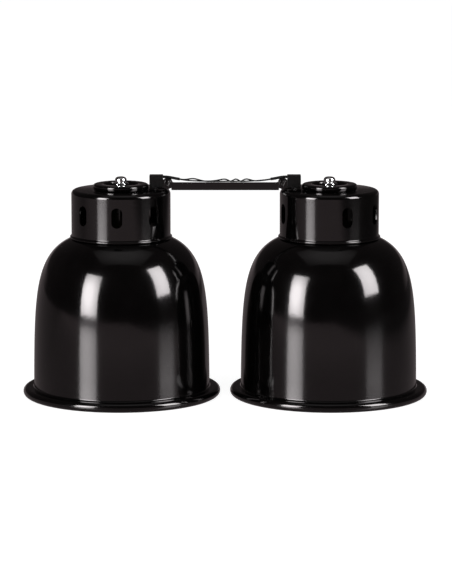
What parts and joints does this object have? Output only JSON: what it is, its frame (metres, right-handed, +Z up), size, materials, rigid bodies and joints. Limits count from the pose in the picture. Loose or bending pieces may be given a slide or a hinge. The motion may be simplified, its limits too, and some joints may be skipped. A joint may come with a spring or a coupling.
{
  "type": "twin dome grow lamp",
  "caption": "Twin grow lamp: deep bell shades with vented necks and screw-in bulbs, hinged side by side on a short link bar so that each shade can tilt outward.",
  "frame": {"origin": "on the ground midway between the two lamps, in the plane of the shade rims", "axes": "+X along the link bar from the left lamp to the right one, -Y towards the front, +Z up along the lamps"},
  "size_m": [0.287, 0.14, 0.157],
  "materials": {
    "black_paint": "high-gloss black paint on spun and pressed sheet",
    "chrome": "bright chrome plate",
    "steel": "zinc-plated steel",
    "brass": "plain brass",
    "porcelain": "porcelain with a dark brown glaze",
    "glass": "frosted white glass",
    "wire_insulation": "black heat-proof insulation",
    "moulded_black": "satin black moulding"
  },
  "bodies": {
    "bar": {"link_bar": "black_paint", "link_wire_a": "wire_insulation", "link_wire_b": "wire_insulation"},
    "left_lamp": {"gland_nut": "moulded_black", "left_bracket_rivet_a": "black_paint", "left_bracket_rivet_b": "black_paint", "left_cable_outlet": "moulded_black", "left_cap_nut": "chrome", "left_centre_contact": "brass", "left_hinge_bracket": "black_paint", "left_hinge_nut": "black_paint", "left_hinge_screw": "black_paint", "left_lead_sleeve": "wire_insulation", "left_live_wire": "wire_insulation", "left_lock_nut": "steel", "left_neutral_wire": "wire_insulation", "left_screw_shell": "brass", "left_shade": "black_paint", "left_shade_rivet_a": "steel", "left_shade_rivet_b": "steel", "left_shade_rivet_c": "steel", "left_socket_body": "porcelain", "left_socket_screw_a": "steel", "left_socket_screw_b": "steel", "left_socket_strap": "steel", "left_spacer": "steel", "left_stud": "steel", "left_top_disc": "black_paint", "left_vent_cap": "black_paint", "mains_gland": "moulded_black"},
    "right_lamp": {"right_bracket_rivet_a": "black_paint", "right_bracket_rivet_b": "black_paint", "right_cable_outlet": "moulded_black", "right_cap_nut": "chrome", "right_centre_contact": "brass", "right_hinge_bracket": "black_paint", "right_hinge_nut": "black_paint", "right_hinge_screw": "black_paint", "right_lead_sleeve": "wire_insulation", "right_live_wire": "wire_insulation", "right_lock_nut": "steel", "right_neutral_wire": "wire_insulation", "right_screw_shell": "brass", "right_shade": "black_paint", "right_shade_rivet_a": "steel", "right_shade_rivet_b": "steel", "right_shade_rivet_c": "steel", "right_socket_body": "porcelain", "right_socket_screw_a": "steel", "right_socket_screw_b": "steel", "right_socket_strap": "steel", "right_spacer": "steel", "right_stud": "steel", "right_top_disc": "black_paint", "right_vent_cap": "black_paint"},
    "left_bulb": {"left_bulb_cap": "brass", "left_bulb_globe": "glass"},
    "right_bulb": {"right_bulb_cap": "brass", "right_bulb_globe": "glass"}
  },
  "joints": [
    {"name": "left_tilt", "type": "hinge", "parent": "bar", "child": "left_lamp", "pos_m": [-0.0405, 0, 0.1518], "axis": [0, 1, 0], "range_deg": [0, 75], "deforming": ["left_lead_sleeve"]},
    {"name": "right_tilt", "type": "hinge", "parent": "bar", "child": "right_lamp", "pos_m": [0.0405, 0, 0.1518], "axis": [0, -1, 0], "range_deg": [0, 75], "deforming": ["right_lead_sleeve"]},
    {"name": "left_bulb_turn", "type": "hinge", "parent": "left_lamp", "child": "left_bulb", "pos_m": [-0.0735, 0, 0.11], "axis": [0, 0, -1], "range_deg": [0, 1080]},
    {"name": "right_bulb_turn", "type": "hinge", "parent": "right_lamp", "child": "right_bulb", "pos_m": [0.0735, 0, 0.11], "axis": [0, 0, -1], "range_deg": [0, 1080]}
  ]
}
